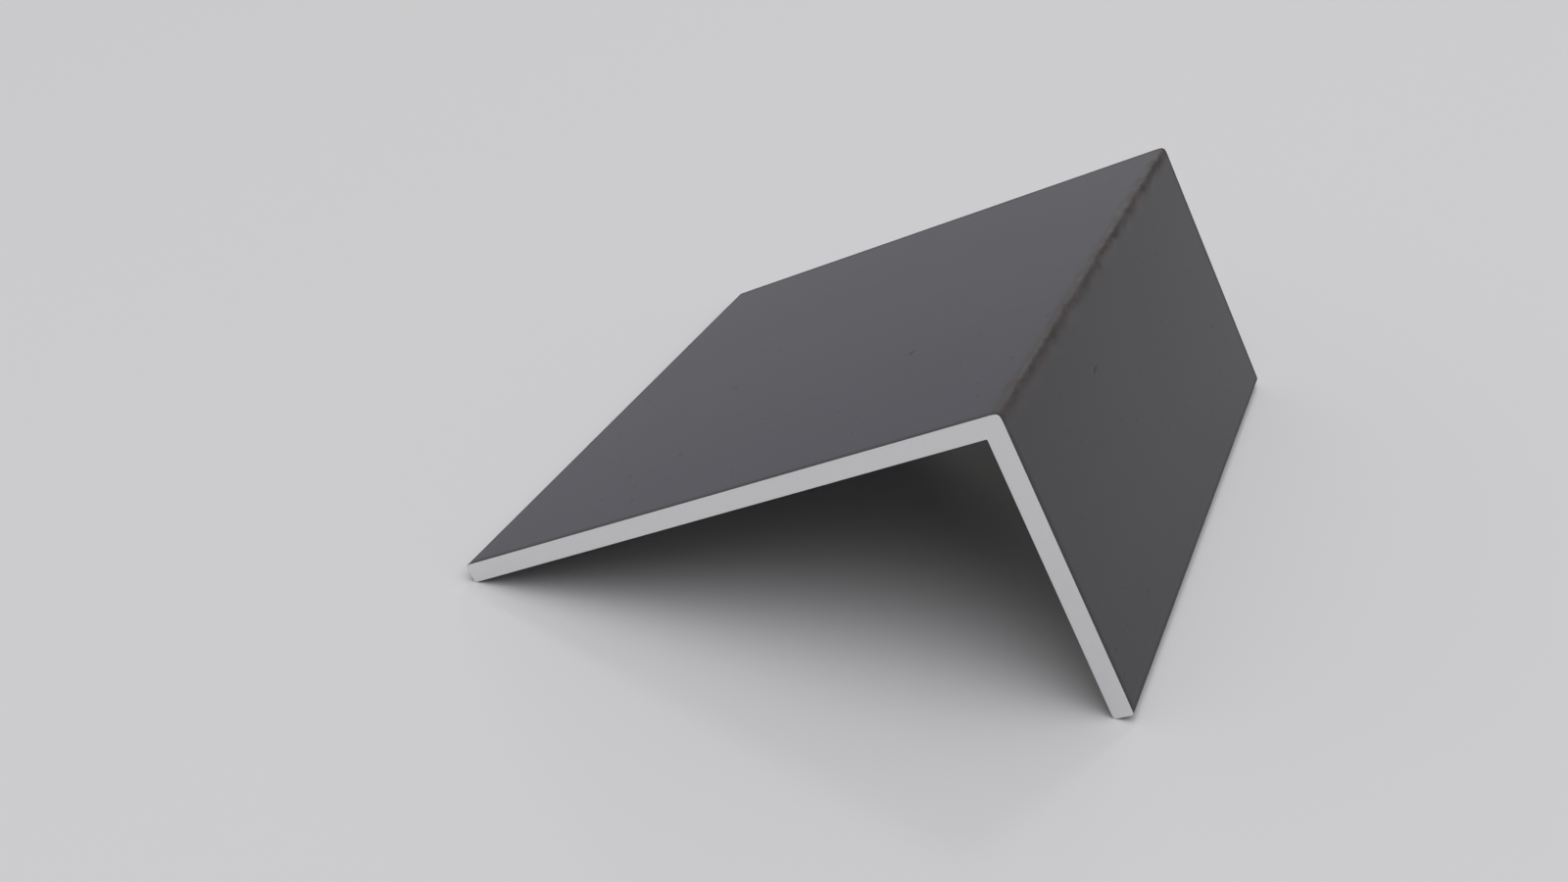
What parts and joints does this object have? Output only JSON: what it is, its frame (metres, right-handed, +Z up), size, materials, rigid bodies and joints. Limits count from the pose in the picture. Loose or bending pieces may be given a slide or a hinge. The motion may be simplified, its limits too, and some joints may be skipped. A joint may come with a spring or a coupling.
{
  "type": "metal angle section",
  "caption": "Short cut length of unequal-leg steel angle, one leg about twice the other, lying tent-like on its two free edges; stock for framing and brackets.",
  "frame": {"origin": "middle of the floor patch under the piece: centre of its box in X and Y, at floor level", "axes": "+Y along the length, from the sawn end shown to the far one; +Z up, from the floor towards the heel; +X across, towards the short leg's free edge"},
  "size_m": [0.1626, 0.175, 0.0687],
  "materials": {
    "mill_scale_steel": "dull dark grey mill scale on the rolled faces, bare pale sawn ends, a trace of rust along the heel"
  },
  "bodies": {
    "root": {"angle_section": "mill_scale_steel"}
  },
  "joints": []
}
